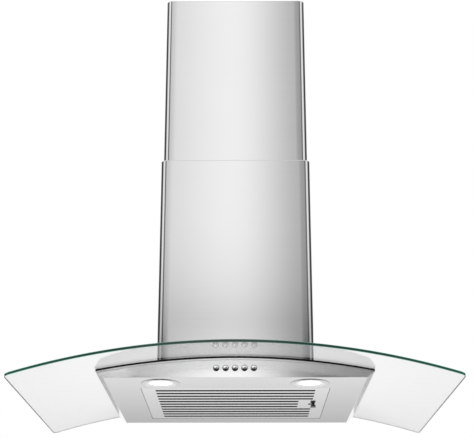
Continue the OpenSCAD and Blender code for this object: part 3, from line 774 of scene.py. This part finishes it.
def softened(node, body, material, width, name, bend=0.0, is_bend=None):
    """Copy of a CAD node with flat faces merged and sharp edges slightly rounded.

    Edges that is_bend picks get the larger radius bend, as folded sheet has.
    """
    bm = bmesh.new()
    bm.from_mesh(frame["nodes"][node].data)
    bmesh.ops.remove_doubles(bm, verts=bm.verts, dist=2e-6)
    bmesh.ops.dissolve_limit(bm, angle_limit=math.radians(0.5), use_dissolve_boundaries=False,
                             verts=bm.verts, edges=bm.edges)
    widest = max(width, bend)
    weight = bm.edges.layers.float.new("bevel_weight_edge")
    for edge in bm.edges:
        if edge.is_manifold and edge.calc_face_angle(0.0) > math.radians(35):
            edge[weight] = width / widest
            if is_bend and is_bend(edge):
                edge[weight] = 1.0
    obj = piece_from(bm, name, material, body, [node], 30)
    bevel = obj.modifiers.new("edge", "BEVEL")
    bevel.width = widest
    bevel.segments = 4 if bend else 2
    bevel.limit_method = "WEIGHT"
    bevel.harden_normals = True
    return obj


def is_side_fold(edge):
    """The long folds between the body's underside and its sloped sides."""
    a, b = (v.co for v in edge.verts)
    low = max(a.z, b.z) < UNDER_Z + 0.1 * MM
    return low and abs(a.x - b.x) < 0.1 * MM and abs(a.x) > FOLD_BEYOND


# ---------- Studio ----------

def set_stops(ramp, stops):
    """Fills a colour ramp with grey stops given as (position, level)."""
    elements = ramp.color_ramp.elements
    while len(elements) > 1:
        elements.remove(elements[-1])
    for i, (position, level) in enumerate(stops):
        element = elements[0] if i == 0 else elements.new(position)
        element.position = position
        element.color = (level, level, level, 1.0)


def by_angle(n, place, levels):
    """Level by compass direction, from (degrees from the front, level). Positive is to the right."""
    ramp = n.add("ShaderNodeValToRGB", {"Fac": place})
    set_stops(ramp, [(0.5 + degrees / 360, level) for degrees, level in levels])
    return ramp.outputs["Color"]


def studio_above(n, around, ends, z):
    """Light from above the horizon: around and ends by direction, changed by the sine of the elevation z."""
    rise = n.add("ShaderNodeValToRGB", {"Fac": z})
    set_stops(rise, [(0.0, 0.92), (0.230, 0.92), (0.250, 0.86), (0.258, 0.56), (0.27, 0.66), (0.285, 0.84),
                     (0.31, 0.94), (0.34, 1.0), (0.6, 1.0), (0.75, 0.7), (1.0, 0.7)])
    fill = n.fade(z, 0.13, 0.22, 0.4, 0.0)
    high = n.fade(z, 0.5, 0.65, 0.0, 0.9)
    around = n.math("MAXIMUM", around, n.math("ADD", fill, high))
    return n.times(n.times(n.times(around, rise.outputs["Color"]), 1.55), ends)


def studio_below(n, around, ends, way):
    """Light from below the horizon, along the three sockets of way."""
    x, y, z = way
    behind = n.math("ADD", n.fade(z, -0.225, -0.17, 1.0, 0.42), n.fade(z, -0.15, -0.09, 0.0, 0.6))
    # In front the floor is paler far out and dark close in, but open to both sides
    pit = n.fade(z, -0.32, -0.2, 0.06, 0.7)
    open_side = n.fade(n.math("ABSOLUTE", x), 0.5, 0.66, 0.0, 0.6)
    # The panel's upper part sees the floor by way of the glass, so a low patch repeats the front light
    from_patch = n.math("ABSOLUTE", n.math("ADD", z, 0.227))
    patch = n.times(n.fade(from_patch, 0.03, 0.045, 1.15, 0.0), n.times(around, ends))
    ahead = n.math("MAXIMUM", patch, n.math("MAXIMUM", pit, open_side))
    floor_light = n.blend(n.fade(y, -0.1, -0.3), behind, ahead)
    return n.times(floor_light, n.fade(z, -0.85, -0.65, 0.06, 1.0))


def studio_world():
    """White surroundings; reflections see a soft studio with paler and darker bands round the hood."""
    world = bpy.data.worlds.new("studio")
    bpy.context.scene.world = world
    world.use_nodes = True
    n = Nodes(world.node_tree)
    way = n.split(n.add("ShaderNodeTexCoord").outputs["Generated"])
    x, y, z = way
    turn = n.math("DIVIDE", n.math("ARCTAN2", x, n.times(y, -1.0)), 2 * math.pi)
    place = n.math("ADD", turn, 0.5)
    around = by_angle(n, place, (
        (-180, 0.8), (-144, 0.6), (-132, 0.05), (-80, 0.05), (-72, 0.45), (-62, 0.78), (-40, 0.78),
        (-32, 0.45), (-26, 0.12), (-13, 0.14), (-9, 0.5), (-5, 0.64), (-3.5, 0.72), (-2, 0.84),
        (-0.3, 0.94), (1.2, 0.76), (2.3, 0.50), (3.6, 0.36), (8, 0.3), (12, 0.14), (26, 0.12),
        (32, 0.45), (40, 0.78), (62, 0.78), (72, 0.45), (80, 0.05), (132, 0.05), (144, 0.6), (180, 0.8),
    ))
    # Darker low down to the left and right, as the panel's ends show
    low_ends = by_angle(n, place, (
        (-180, 1.0), (-60, 1.0), (-45, 0.0), (-7.5, 0.0), (-5, 0.6), (-3.5, 0.95), (-2, 1.0), (1, 1.0),
        (2, 0.95), (3.5, 0.55), (5, 0.1), (45, 0.0), (60, 1.0), (180, 1.0),
    ))
    ends = n.math("MAXIMUM", low_ends, n.fade(z, 0.24, 0.25))
    above = studio_above(n, around, ends, z)
    below = studio_below(n, around, ends, way)
    dome = n.blend(n.fade(z, -0.08, 0.04), below, above)
    reflected = n.math("GREATER_THAN", n.add("ShaderNodeLightPath").outputs["Glossy Depth"], 0.5)
    strength = n.blend(reflected, 1.0, dome)
    sky = n.add("ShaderNodeBackground", {"Color": (1.0, 1.0, 1.0, 1.0), "Strength": strength})
    n.add("ShaderNodeOutputWorld", {"Surface": sky.outputs[0]})


def stage_floor():
    """Plain pale floor well below the hanging hood."""
    bpy.ops.mesh.primitive_circle_add(vertices=96, radius=4, fill_type="NGON", location=(0, 0, -2.4))
    floor = bpy.context.object
    floor.name = "floor"
    material, n = new_material("floor_paint")
    here = n.here()
    close_material(n, {
        "Base Color": n.tint((0.94, 0.94, 0.94), n.spread(n.noise(here, 3.0), 0.98, 1.0)),
        "Roughness": 0.8,
        "Specular IOR Level": 0.1,
    })
    floor.data.materials.append(material)
    floor.visible_glossy = False


def soft_light(name, place, target, size, power):
    """Rectangular light that points at a target and stays out of reflections."""
    light = bpy.data.lights.new(name, "AREA")
    light.shape = "RECTANGLE"
    light.size, light.size_y = size
    light.energy = power
    obj = bpy.data.objects.new(name, light)
    obj.location = place
    obj.rotation_euler = (Vector(target) - Vector(place)).to_track_quat("-Z", "Y").to_euler()
    obj.visible_glossy = False
    bpy.context.collection.objects.link(obj)


def camera():
    """The viewpoint: below the canopy, a little to the right, looking up at the hood."""
    data = bpy.data.cameras.new("camera")
    data.sensor_width = 36
    data.lens = 87.6
    data.shift_y = 0.0507
    obj = bpy.data.objects.new("camera", data)
    obj.location = (0.0153, -2.5615, -1.4691)
    obj.rotation_euler = (math.radians(90 + 19.32), 0.0, math.radians(0.306))
    bpy.context.collection.objects.link(obj)
    bpy.context.scene.camera = obj


# ---------- The hood ----------

camera()
studio_world()
stage_floor()
soft_light("key", (-1.2, -3.0, 0.6), (0, 0, -0.6), (1.6, 1.6), 12)
bpy.context.scene.view_settings.view_transform = "Standard"

dress_frame()
glass_canopy()
chimney()
push_buttons()
lamps()
filter_panel()
softened("control_panel", "hood", panel_steel, 0.4 * MM, "control_fascia",
         FOLD_R, is_side_fold)
softened("body_tray", "hood", side_steel, 0.4 * MM, "folded_tray",
         FOLD_R, is_side_fold)
softened("filter_latch", "filter_latch", black_plastic, 0.5 * MM, "latch_slider")
